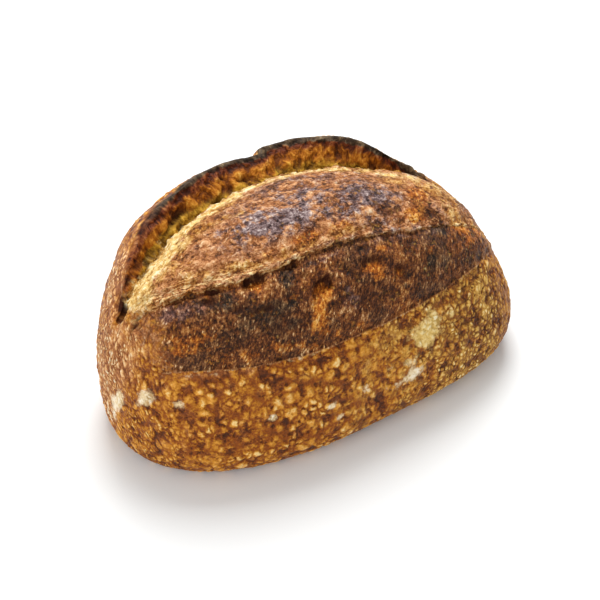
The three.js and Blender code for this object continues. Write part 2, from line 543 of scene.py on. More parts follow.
RUSTED = Paint("rust", (
    *marks(
        RIDGE,
        (70, 24, 10, 8, 0.7), (60, 10, 8, 6, 0.8), (64, 22, 8, 6, 0.7), (-14, 8, 12, 4, 0.7),
        (6, 8, 12, 5, 0.6), (-36, 8, 10, 5, 0.4), (-62, 26, 6, 4, 0.5), (-84, 6, 10, 3, 0.5),
        (52, 8, 16, 6, 0.6), (20, 44, 26, 4, 0.35),
    ),
    *marks(EDGE, (-96, -14, 7, 4, 0.5)),
))

GILDED = Paint("gilt", (
    *marks(
        RIDGE,
        (84, 2, 8, 14), (84, 24, 14, 12, 0.9), (62, 36, 20, 8, 0.7), (62, 12, 5, 7, 0.5),
        (98, 0, 5, 12, 0.7), (-50, 40, 20, 7, 0.5), (-84, 16, 12, 10, 0.5), (-103, 5, 9, 8, 0.9),
        (-60, 7, 20, 4, 0.6), (-22, 4, 22, 3, 0.7), (10, 5, 16, 3, 0.6),
    ),
    *marks(EDGE, (-72, -16, 22, 7, 0.65), (-36, -13, 22, 5, 0.6)),
))

BLUSH = Paint("blush", (
    *marks(SEAM, (-125, 20, 14, 24, 1, 3), (-112, 26, 9, 12, 0.7), (-84, -2, 24, 2.6, 0.6)),
    *marks(LIP, (-104, 12, 20, 16, 0.95)),
))

# Grey frosting on the lobes: partly the crust's own frosted bloom, partly a painted sheen.
FROST_AND_SHEEN = Paint("frost_and_sheen", (
    *marks(
        RIDGE,
        (2, 28, 56, 20, 0.5, 4), (-24, 24, 18, 7, 0.6), (36, 24, 14, 8, 0.6), (-60, 34, 12, 6, 0.4),
        (-90, -9, 12, 7, 0.6), (-8, -5, 12, 3.5, 0.45), (34, -4, 16, 4, 0.5), (-4, -28, 8, 10, 0.5),
        (60, -3, 14, 3, 0.4),
    ),
))

CREAM = Paint("cream", (
    *marks(RIDGE, (-103, 13, 6, 5, 0.6), (-98, 4.5, 10, 2.5, 0.5)),
    *marks(
        EDGE,
        (-97, -6, 12, 9), (-78, -6, 16, 10.5), (-50, -5, 22, 7.5, 0.85), (-20, -4, 24, 6, 0.65),
        (10, -4, 26, 5, 0.5), (40, -4, 24, 6, 0.55), (70, -8, 26, 8, 0.55),
    ),
))

FLOUR = Paint("flour", (
    *marks(
        SEAM,
        (37, -18, 9, 9), (46, -12, 6, 5, 0.8), (24, -29, 6, 3, 0.6), (26, -38, 5, 4, 0.95),
        (14, -41, 8, 3, 0.65), (57, -14, 3, 6.5, 0.6), (-115, -11.5, 3.4, 4.2, 0.9),
        (-104.5, -18.4, 2.8, 2.6, 0.75), (-124, -1, 1.6, 5, 0.9), (-61, -32, 2.2, 2.2),
        (-28, -35, 2.4, 2.4), (-24, -44, 3.2, 2.2, 0.85), (-6, -33, 3, 3, 0.5), (10, -27, 3, 2.5, 0.6),
        (-90, -1.8, 16, 1.6, 0.35), (-44, -1, 14, 1.4, 0.4),
    ),
    *marks(
        BACK,
        (-20, -34, 26, 9, 0.5), (48, -20, 14, 9, 0.7), (-76, -26, 10, 7, 0.6), (14, -8, 10, 4, 0.5),
    ),
))

PAINTS = (CHAR, TOAST, RUSTED, GILDED, FROST_AND_SHEEN, CREAM, FLOUR)


# -------------------------------------------------------------------------------------------- patterns


class TreeKind(Enum):
    """The two kinds of node tree that a pattern is written in: one colours, the other shapes."""

    SHADER = "ShaderNodeTree"
    GEOMETRY = "GeometryNodeTree"


class Pattern:
    """Writes nodes into a tree. Sizes are in the units of the vector that a texture reads, mostly mm."""

    def __init__(self, tree: bpy.types.NodeTree) -> None:
        self.tree = tree

    def node(
        self, kind: str, inputs: dict[str | int, Value] | None = None, **settings: object
    ) -> bpy.types.Node:
        """Adds a node.

        Args:
            kind: the node's type.
            inputs: what goes into its sockets, by name or number: a value or another node's socket.
            **settings: the node's own properties.

        Returns:
            The new node.
        """
        node = self.tree.nodes.new(kind)
        for name, setting in settings.items():
            setattr(node, name, setting)
        for name, value in (inputs or {}).items():
            self.fill(node.inputs[name], value)
        return node

    def fill(self, socket: Socket, value: Value) -> None:
        """Links or sets one socket."""
        if isinstance(value, Socket):
            self.tree.links.new(value, socket)
        else:
            socket.default_value = value

    def math(self, operation: str, first: Value, second: Value = 0.0, third: Value = 0.0) -> Socket:
        """A Math node's result."""
        return self.node("ShaderNodeMath", {0: first, 1: second, 2: third}, operation=operation).outputs[0]

    def vector_math(self, operation: str, first: Value, second: Value) -> Socket:
        """A Vector Math node's result."""
        return self.node("ShaderNodeVectorMath", {0: first, 1: second}, operation=operation).outputs[0]

    def add(self, *values: Value) -> Socket:
        """The sum of the values."""
        total = values[0]
        for value in values[1:]:
            total = self.math("ADD", total, value)
        return total

    def times(self, *values: Value) -> Socket:
        """The product of the values."""
        total = values[0]
        for value in values[1:]:
            total = self.math("MULTIPLY", total, value)
        return total

    def both(self, value: Value, low: float, high: float) -> Socket:
        """A smooth step from 0 at low to 1 at high, or the other way round if low is above high."""
        if low > high:
            return self.math("SUBTRACT", 1.0, self.both(value, high, low))
        inputs = {"Value": value, "From Min": low, "From Max": high}
        return self.node("ShaderNodeMapRange", inputs, interpolation_type="SMOOTHSTEP").outputs["Result"]

    def scaled(self, value: Value, factor: Value, offset: Value) -> Socket:
        """The value times a factor, plus an offset."""
        return self.math("MULTIPLY_ADD", value, factor, offset)

    def weighted(self, offset: Value, *terms: tuple[Value, float]) -> Socket:
        """The offset, plus each value times its factor."""
        return self.add(offset, *(self.times(value, factor) for value, factor in terms))

    def axis(self, vector: Value, name: str) -> Socket:
        """One part of a vector."""
        return self.node("ShaderNodeSeparateXYZ", {0: vector}).outputs[name]

    def stretched(self, vector: Socket, factors: Triple) -> Socket:
        """The vector with each part times its factor: below 1, a pattern on it is drawn out that way."""
        return self.vector_math("MULTIPLY", vector, factors)

    def hump(self, value: Value, middle: float, reach: float) -> Socket:
        """1 where the value is at the middle, falling smoothly to 0 a reach away."""
        away = self.math("ABSOLUTE", self.math("SUBTRACT", value, middle))
        return self.both(away, reach, 0.0)

    def lerp(self, factor: Value, first: Value, second: Value) -> Socket:
        """A number between first and second."""
        node = self.node("ShaderNodeMix", {"Factor": factor}, data_type="FLOAT")
        self.fill(node.inputs[2], first)
        self.fill(node.inputs[3], second)
        return node.outputs[0]

    def mix(self, factor: Value, first: Value, second: Value) -> Socket:
        """A colour between first and second."""
        node = self.node("ShaderNodeMix", {"Factor": factor}, data_type="RGBA")
        self.fill(node.inputs[6], first)
        self.fill(node.inputs[7], second)
        return node.outputs[2]

    def over(self, factor: Value, first: Coat, second: Coat) -> Coat:
        """The second coat laid over the first where the factor is 1."""
        return self.mix(factor, first[0], second[0]), self.lerp(factor, first[1], second[1])

    def layered(self, coat: Coat, *layers: tuple[Value, Coat]) -> Coat:
        """The coat with more laid over it in turn, each where its own mask is 1."""
        for mask, layer in layers:
            coat = self.over(mask, coat, layer)
        return coat

    def noise(self, vector: Socket, size: float, detail: float = 2.0, roughness: float = 0.5) -> Socket:
        """Soft noise with features of this size, around 0.5."""
        inputs = {"Vector": vector, "Scale": 1 / size, "Detail": detail, "Roughness": roughness}
        return self.node("ShaderNodeTexNoise", inputs, noise_dimensions="3D").outputs[0]

    def wave(self, vector: Socket, size: float, detail: float = 2.0, roughness: float = 0.5) -> Socket:
        """The same noise, stretched to run from -1 to 1."""
        return self.scaled(self.noise(vector, size, detail, roughness), 2.0, -1.0)

    def warp(self, vector: Socket, size: float, reach: float) -> Socket:
        """The vector, moved about by noise of this size, so that a pattern on it loses its regularity."""
        inputs = {"Vector": vector, "Scale": 1 / size, "Detail": 2.0}
        colour = self.node("ShaderNodeTexNoise", inputs, noise_dimensions="3D").outputs["Color"]
        shift = self.vector_math("SUBTRACT", colour, (0.5, 0.5, 0.5))
        return self.vector_math("ADD", vector, self.stretched(shift, (reach, reach, reach)))

    def voronoi(self, vector: Socket, size: float, feature: str = "F1") -> bpy.types.Node:
        """A Voronoi node with cells of this size."""
        inputs = {"Vector": vector, "Scale": 1 / size, "Randomness": 1.0}
        return self.node("ShaderNodeTexVoronoi", inputs, voronoi_dimensions="3D", feature=feature)

    def cells(self, vector: Socket, size: float) -> tuple[Socket, Socket]:
        """Round cells of this size: the distance from a cell's middle in cell sizes, and its own number."""
        node = self.voronoi(vector, size)
        return node.outputs["Distance"], self.axis(node.outputs["Color"], "X")

    def border(self, vector: Socket, size: float) -> Socket:
        """The distance from the border between those cells, in cell sizes."""
        return self.voronoi(vector, size, "DISTANCE_TO_EDGE").outputs["Distance"]

    def ramp(self, value: Value, stops: list[tuple[float, tuple[float, ...]]]) -> Socket:
        """A colour read off a ramp with these stops."""
        node = self.node("ShaderNodeValToRGB", {0: value})
        elements = node.color_ramp.elements
        for index, (place, colour) in enumerate(stops):
            element = elements[index] if index < 2 else elements.new(place)
            element.position = place
            element.color = colour
        return node.outputs[0]


@dataclass(frozen=True)
class Finish:
    """One finish of the crust: its tones from the darkest to the brightest. On the skin the darkest fall in
    the crevices as painted shade, and the brightest on the pebble tops as a painted highlight.
    """

    name: str
    tones: tuple[str, ...]
    roughness: float
    places: tuple[float, ...] = (0.0, 0.3, 0.52, 0.74, 1.0)

    def coat(self, pattern: Pattern, tone: Value) -> Coat:
        """This finish's colour and roughness for a tone from 0 to 1."""
        stops = [(place, linear(code)) for place, code in zip(self.places, self.tones)]
        return pattern.ramp(tone, stops), self.roughness


AMBER = Finish("amber skin", ("56280a", "8e480e", "be7a1e", "e29e3e", "f8d48c"), 0.5)
TAN = Finish("olive-tan skin", ("502e10", "865420", "be8a38", "e8ba60", "fde8b0"), 0.6)
# Russet skin, used for real russet patches and also as painted shade on the right end.
RUSSET_AND_END_SHADE = Finish("russet skin", ("42200e", "763a14", "a8621e", "d08c34", "f0c47c"), 0.45)
MAUVE = Finish("blushed skin", ("5c2c14", "94582e", "c88650", "ecba7e", "ffe8c4"), 0.55)
BLOOM = Finish("dark bloom", ("180904", "42200c", "74401c", "a8713e", "ecc08c"), 0.5)
BURNT = Finish("burnt bloom", ("0e0704", "281a0f", "4c3320", "765838", "be966a"), 0.45)
EMBER = Finish("toasted bloom", ("522c0e", "94582c", "c28452", "dea878", "f6d4a4"), 0.5)
RUST = Finish("rusty bloom", ("361204", "82400c", "bc681c", "e6a040", "fcd088"), 0.5)
GILT = Finish("gilded bloom", ("4c260a", "94581c", "c48a42", "e2b46c", "fae0aa"), 0.5)
# Grey frosted tones, partly the crust's own bloom and partly a painted sheen over the brown.
HOAR_AND_SHEEN = Finish("frosted bloom and painted sheen", ("281c1c", "564040", "86706e", "b09c98", "e6d8d0"), 0.65)
SKEIN = Finish("torn strands", ("6c3c10", "a8642a", "d49550", "ecb878", "f8dca0"), 0.6)
PALE = Finish("pale torn crust", ("a8702e", "dcae62", "f4d48c", "feeaba", "fff8de"), 0.7)
CRUMB = Finish("gold crumb", ("341f04", "6a470c", "9c7019", "c8982f", "eac46c"), 0.75)
GLOW = Finish("orange crumb", ("361602", "6c3605", "a45e0e", "cc882c", "eab85a"), 0.7)
SINGED = Finish("singed tear", ("1a0803", "42190a", "723412", "a0602e", "d09a66"), 0.6)
COAL = Finish("charred lip", ("0e0a06", "2a1c10", "4a3826", "725e44", "ac9470"), 0.65)
DUST = Finish("flour", ("c49a50", "e2bc6c", "f2d28c", "fae4aa", "fff4d4"), 0.9)
CHALK = Finish("chalky flour", ("c09a68", "e8cc9c", "f8e6c4", "fff2dc", "fffaf0"), 0.9)

ATTRIBUTES = ("from_seam", "from_ridge", "from_edge", "from_lip", "lobes", "opened", "end", "blush")
VECTORS = ("rest", "flow")
ZoneRelief = tuple[float, tuple[tuple[str, float], ...]]


@dataclass(frozen=True)
class ReliefGroup:
    """The crust's small relief, as one node group for either kind of tree, so that colour follows shape.

    Sizes and heights are in mm. A border is a distance with what coarse and fine noise add to it. The ends'
    pebbles and the blush's flecks each have a size and a squeeze, which draws them out along Z where it is
    below 1, and they lean by an angle in radians. A zone's relief is its level and its parts' heights.
    """

    borders: tuple[tuple[str, float, float], ...] = (
        ("from_seam", 1.4, 0.5), ("from_ridge", 2.4, 1.0), ("from_edge", 4.5, 2.5), ("from_lip", 2.6, 1.8),
    )
    pebble_sizes: Pair = (7.0, 4.8)
    pebble_squeeze: float = 0.85
    end_pebble: Pair = (4.2, 0.5)
    blush_fleck: Pair = (3.2, 0.42)
    end_lean: float = 0.5
    skin_relief: ZoneRelief = (-0.25, (("Skin Domes", 0.8), ("Skin Gully", -0.5), ("Skin Grain", 0.3)))
    lobe_relief: ZoneRelief = (-0.15, (("Lobe Streak", 0.7), ("Lobe Bright", 0.35), ("Lobe Cloud", 1.3)))
    crumb_relief: ZoneRelief = (0.0, (("Crumb Fibre", 2.0), ("Crumb Cloud", 2.0)))
    lip_calm: float = -0.8
    cord_height: float = 0.35
    fray_height: float = 0.25
    burr_height: float = 1.8
    thread_height: float = 0.8

    outputs = (
        "Height", "Skin Tone", "Lobe Tone", "Crumb Tone", "Front Lobe", "Middle Lobe", "Trench", "Lip",
        "Seam Line", "Ridge Line", "Lip Distance", "Threads",
    )

    def build(self, kind: TreeKind) -> bpy.types.NodeTree:
        """Makes the group.

        Args:
            kind: the kind of tree that it goes in.

        Returns:
            The node group. Its height is in mm.
        """
        tree = bpy.data.node_groups.new(f"crust_relief_{kind.name.lower()}", kind.value)
        for name in VECTORS:
            tree.interface.new_socket(name, in_out="INPUT", socket_type="NodeSocketVector")
        for name in ATTRIBUTES:
            tree.interface.new_socket(name, in_out="INPUT", socket_type="NodeSocketFloat")
        for name in self.outputs:
            tree.interface.new_socket(name, in_out="OUTPUT", socket_type="NodeSocketFloat")
        pattern = Pattern(tree)
        given = pattern.node("NodeGroupInput").outputs
        made = self.zones(pattern, given) | self.skin(pattern, given) | self.lobes(pattern, given)
        made |= self.crumb(pattern, given)
        made["Height"] = self.height(pattern, made)
        pattern.node("NodeGroupOutput", {name: made[name] for name in self.outputs})
        return tree

    def zones(self, p: Pattern, given: Sockets) -> dict[str, Socket]:
        """Masks for the zones of the crust, with torn borders."""
        coarse = p.wave(given["rest"], 7.0, 4.0, 0.6)
        fine = p.wave(given["rest"], 2.2, 3.0, 0.6)
        seam, ridge, edge, lip = (
            p.weighted(given[name], (coarse, slow), (fine, quick)) for name, slow, quick in self.borders
        )
        gape = p.both(given["opened"], 0.01, 0.12)
        x = p.axis(given["rest"], "X")
        over_seam = p.both(seam, -0.5, 0.6)
        over_ridge = p.both(ridge, -0.8, 0.6)
        soft = p.weighted(given["lobes"], (coarse, 0.9), (fine, 0.9))
        lobes = p.times(p.both(soft, 0.1, 0.9), p.both(given["lobes"], 0.02, 0.3))
        seam_line = p.times(given["lobes"], p.hump(seam, 0.0, 0.7), p.both(fine, -0.4, 0.2))
        ridge_line = p.times(given["lobes"], p.hump(ridge, 0.5, 0.9), p.both(fine, -0.3, 0.3))
        return {
            "Front Lobe": p.times(lobes, over_seam, p.math("SUBTRACT", 1.0, over_ridge)),
            "Middle Lobe": p.times(lobes, over_ridge, p.both(edge, 1.2, -0.8)),
            "Trench": p.times(p.both(edge, 0.2, 2.4), gape, p.both(lip, 3.0, 0.5)),
            "Lip": p.times(p.both(lip, -5.5, -3.0), gape),
            "Seam Line": seam_line,
            "Ridge Line": p.times(ridge_line, p.both(x, 66.0, 50.0)),
            "Lip Distance": lip,
        }

    def skin(self, p: Pattern, given: Sockets) -> dict[str, Socket]:
        """The skin's pebbled blisters, longer at the ends and finest where the left end blushes."""
        grain = p.wave(given["rest"], 1.3, 3.0, 0.6)
        drift = p.wave(given["rest"], 11.0, 3.0)
        gully = p.both(p.noise(given["rest"], 6.4, 3.0, 0.6), 0.51, 0.61)
        gully = p.times(gully, p.scaled(given["blush"], -0.8, 1.0))
        bent = p.warp(p.warp(given["rest"], 5.0, 4.0), 1.6, 1.0)
        x = p.axis(given["rest"], "X")
        left, right = (self.pebbles(p, bent, size, self.pebble_squeeze) for size in self.pebble_sizes)
        round_domes = p.lerp(p.both(x, -30.0, 50.0), left, right)
        turned = p.node("ShaderNodeVectorRotate", {
            "Vector": bent, "Axis": (1.0, 0.0, 0.0), "Angle": self.end_lean,
        }).outputs[0]
        long_domes = self.pebbles(p, turned, *self.end_pebble)
        flecks = self.pebbles(p, turned, *self.blush_fleck)
        domes = p.lerp(given["end"], round_domes, long_domes)
        domes = p.lerp(given["blush"], domes, p.times(flecks, 1.3))
        merged = p.both(drift, 0.12, 0.4)
        domes = p.lerp(p.times(merged, 0.4), domes, 0.5)
        # The tone rises with the pebbles' domes, a painted highlight on their tops, and falls in the
        # gullies, painted shade, over the skin's own drifting tone and grain.
        tone = p.weighted(0.27, (domes, 0.7), (gully, -0.24), (drift, 0.26), (grain, 0.35))
        return {"Skin Tone": tone, "Skin Domes": domes, "Skin Gully": gully, "Skin Grain": grain}

    def pebbles(self, p: Pattern, vector: Socket, size: float, squeeze: float) -> Socket:
        """Close pebbles of two sizes and unequal heights, from 0 to 1, with crevices between them."""
        vector = p.stretched(vector, (1.0, 1.0, squeeze))
        layers = []
        for share in (1.0, 0.6):
            middle, number = p.cells(vector, size * share)
            dome = p.times(p.both(p.border(vector, size * share), -0.06, 0.3), p.both(middle, 0.95, 0.2))
            layers.append(p.times(dome, p.scaled(number, 0.55, 0.5)))
        crowded = p.both(p.noise(vector, size * 1.8, 2.0), 0.42, 0.56)
        return p.lerp(crowded, *layers)

    def lobes(self, p: Pattern, given: Sockets) -> dict[str, Socket]:
        """The opened lobes' fine streaks: down the front lobe, and along the middle one."""
        flow = p.node("ShaderNodeSeparateXYZ", {0: given["flow"]}).outputs
        x = p.axis(given["rest"], "X")
        leaning = p.node("ShaderNodeCombineXYZ", {
            0: p.weighted(flow[0], (flow[1], -0.46)), 1: p.times(flow[1], 0.5),
        }).outputs[0]
        down = p.warp(leaning, 6.0, 2.4)
        along = p.stretched(p.warp(given["rest"], 5.0, 6.0), (0.75, 1.0, 1.0))
        over_ridge = p.both(given["from_ridge"], -1.0, 1.0)
        speck, number = p.cells(down, 1.2)
        clump, clump_number = p.cells(along, 1.3)
        rarer = p.math("SUBTRACT", number, p.times(p.both(x, -30.0, 30.0), 0.2))
        front_bright = p.times(p.both(speck, 0.55, 0.15), p.both(rarer, 0.5, 0.95))
        middle_bright = p.times(p.both(clump, 0.6, 0.1), p.both(clump_number, 0.4, 0.9))
        front_streak = p.wave(down, 1.5, 3.0, 0.6)
        middle_streak = p.wave(along, 2.6, 4.0, 0.66)
        crevice = p.both(p.noise(along, 3.2, 4.0, 0.62), 0.54, 0.66)
        cloud = p.wave(given["rest"], 7.0, 4.0, 0.6)
        fine = p.wave(given["rest"], 1.0, 2.0, 0.6)
        front = p.add(p.times(front_bright, 0.45), p.times(front_streak, 0.7), p.times(cloud, 0.7), 0.42)
        middle = p.add(p.times(middle_bright, 0.32), p.times(middle_streak, 0.95), p.times(cloud, 0.6), 0.41)
        middle = p.weighted(middle, (crevice, -0.34))
        streak = p.lerp(over_ridge, front_streak, middle_streak)
        tone = p.weighted(p.lerp(over_ridge, front, middle), (fine, 0.35))
        bright = p.lerp(over_ridge, front_bright, middle_bright)
        strand = p.node("ShaderNodeCombineXYZ", {
            0: p.times(flow[0], 0.14), 1: p.weighted(given["from_ridge"], (cloud, 2.2)),
        }).outputs[0]
        narrowed = p.times(given["from_ridge"], p.lerp(p.both(x, -70.0, 0.0), 1.0, 5.0))
        near = p.times(p.both(given["from_ridge"], -1.4, 0.2), p.both(narrowed, 13.0, 3.0))
        threads = p.times(p.both(p.noise(strand, 0.9, 2.0), 0.5, 0.58), near, given["lobes"])
        return {
            "Lobe Tone": p.weighted(tone, (threads, 0.4)), "Lobe Streak": streak, "Lobe Cloud": cloud,
            "Lobe Bright": bright, "Threads": threads,
        }

    def crumb(self, p: Pattern, given: Sockets) -> dict[str, Socket]:
        """The torn crumb in the trench, with soft pulled fibres across it."""
        flow = p.stretched(p.warp(given["flow"], 9.0, 9.0), (1.0, 0.6, 1.0))
        fibre = p.wave(flow, 4.2, 4.0, 0.55)
        cloud = p.wave(given["rest"], 8.0, 3.0, 0.55)
        fine = p.wave(flow, 1.2, 2.0, 0.6)
        tone = p.add(p.times(fibre, 0.68), p.times(cloud, 0.55), p.times(fine, 0.35), 0.45)
        return {"Crumb Tone": tone, "Crumb Fibre": fibre, "Crumb Cloud": cloud}

    def height(self, p: Pattern, made: dict[str, Socket]) -> Socket:
        """The height of the relief in mm, from every zone's own pattern."""
        skin, lobe, crumb = (
            p.weighted(level, *((made[name], height) for name, height in parts))
            for level, parts in (self.skin_relief, self.lobe_relief, self.crumb_relief)
        )
        lobes = p.add(made["Front Lobe"], made["Middle Lobe"])
        height = p.lerp(lobes, skin, lobe)
        height = p.lerp(made["Trench"], height, crumb)
        from_lip = made["Lip Distance"]
        rim = p.times(made["Lip"], p.both(from_lip, 12.0, 6.0), p.both(from_lip, -5.5, -1.0))
        height = p.times(height, p.scaled(rim, self.lip_calm, 1.0))
        cord = p.times(made["Seam Line"], p.add(self.cord_height, made["Lobe Cloud"]))
        fray = p.times(made["Ridge Line"], p.weighted(self.fray_height, (made["Lobe Streak"], 1.2)))
        burr = p.times(made["Lip"], p.hump(from_lip, -3.2, 2.2), made["Crumb Cloud"], self.burr_height)
        return p.add(height, cord, fray, burr, p.times(made["Threads"], self.thread_height))


# ------------------------------------------------------------------------------------------- the crust


@dataclass(frozen=True)
class Sculptor:
    """The larger torn and blistered shapes of the crust. Heights and sizes are in mm.

    A strip is given by its middle, measured around the ring from its line, and its reach. A fade is where
    shapes begin to fade in or out, and where they have. The fold's turn is in radians for each mm.
    """

    undulation: float = 0.9
    undulation_size: float = 26.0
    base_fade: Pair = (2.0, 14.0)
    end_fade: Pair = (0.0, 4.0)
    ridge_lift: float = 0.95
    ridge_lift_strip: Pair = (1.2, 1.7)
    ridge_lift_ragged: float = 0.7
    ridge_lift_size: float = 6.0
    ridge_cut: float = 0.75
    ridge_cut_strip: Pair = (-1.6, 1.7)
    ridge_cut_size: float = 9.0
    ridge_fade: Pair = (20.0, 60.0)
    ridge_fade_share: float = 0.9
    seam_cut: float = 0.7
    seam_cut_strip: Pair = (2.0, 1.4)
    fold_height: float = 0.55
    fold_strip: Pair = (8.0, 6.0)
    fold_fade: Pair = (-30.0, 20.0)
    fold_turn: float = 1.15
    fold_sway: float = 1.6
    fold_sway_size: float = 20.0
    lip_fray: float = 0.35
    lip_fray_strip: Pair = (0.0, 4.0)
    lip_fray_sizes: Pair = (9.0, 3.0)
    lip_fine_fray: float = 0.3
    edge_fray: float = 0.8
    edge_fray_strip: Pair = (0.5, 3.5)
    edge_fray_sizes: Pair = (5.0, 2.6)

    def height(self, grid: CrustGrid) -> Array:
        """How far each point of the grid is moved out of the crust."""
        height = self.waves(grid) + self.lines(grid) + self.folds(grid) + self.frays(grid)
        for swell in SWELLS:
            height += swell.weight(grid)
        for pit in PITS + CAVITIES:
            height -= pit.weight(grid)
        for arch in ARCHES:
            height -= arch.depth * arch.recess(grid)
        from_end = np.minimum(grid.walked, grid.walked[::-1])
        return height * smooth_step(*self.end_fade, from_end)

    def waves(self, grid: CrustGrid) -> Array:
        """The whole crust's slow swells and hollows."""
        waves = ripple(grid.x, grid.around, self.undulation_size, 3)
        waves += 0.5 * ripple(grid.x, grid.around, self.undulation_size / 2, 4)
        return self.undulation * waves * smooth_step(*self.base_fade, grid.points[..., 2])

    def lines(self, grid: CrustGrid) -> Array:
        """The ridge's torn strand with the cut below it, and the cut along the lower seam."""
        from_ridge, level = grid.above(RIDGE), 0 * grid.x
        torn = grid.score.seams(grid.s) * (1 - self.ridge_fade_share * smooth_step(*self.ridge_fade, grid.x))
        ragged = 1 + self.ridge_lift_ragged * ripple(grid.x, level, self.ridge_lift_size, 5)
        lift = torn * self.ridge_lift * ragged * bell(from_ridge, *self.ridge_lift_strip)
        cut = bell(from_ridge, *self.ridge_cut_strip) * (1 + ripple(grid.x, level, self.ridge_cut_size, 6))
        seam = bell(grid.above(SEAM), *self.seam_cut_strip)
        return lift - torn * self.ridge_cut * cut - grid.score.seams(grid.s) * self.seam_cut * seam

    def folds(self, grid: CrustGrid) -> Array:
        """The stretched folds above the ridge on the left."""
        from_ridge = grid.above(RIDGE)
        sway = self.fold_sway * ripple(grid.x, grid.around, self.fold_sway_size, 7)
        folds = np.sin(from_ridge * self.fold_turn + sway)
        stretched = bell(from_ridge, *self.fold_strip) * (1 - smooth_step(*self.fold_fade, grid.x))
        return grid.score.seams(grid.s) * self.fold_height * folds * stretched

    def frays(self, grid: CrustGrid) -> Array:
        """The frayed lip of the ear and the crumbling edge of the trench."""
        from_lip, from_edge = grid.above(LIP), grid.above(EDGE)
        coarse, fine = self.lip_fray_sizes
        fray = ripple(grid.x, from_lip, coarse, 8) + self.lip_fine_fray * ripple(grid.x, from_lip, fine, 9)
        coarse, fine = self.edge_fray_sizes
        crumbling = ripple(grid.x, from_edge, coarse, 10) + ripple(grid.x, from_edge, fine, 11)
        lip = self.lip_fray * fray * bell(from_lip, *self.lip_fray_strip)
        edge = self.edge_fray * crumbling * bell(from_edge, *self.edge_fray_strip)
        return grid.opened * (lip + edge)


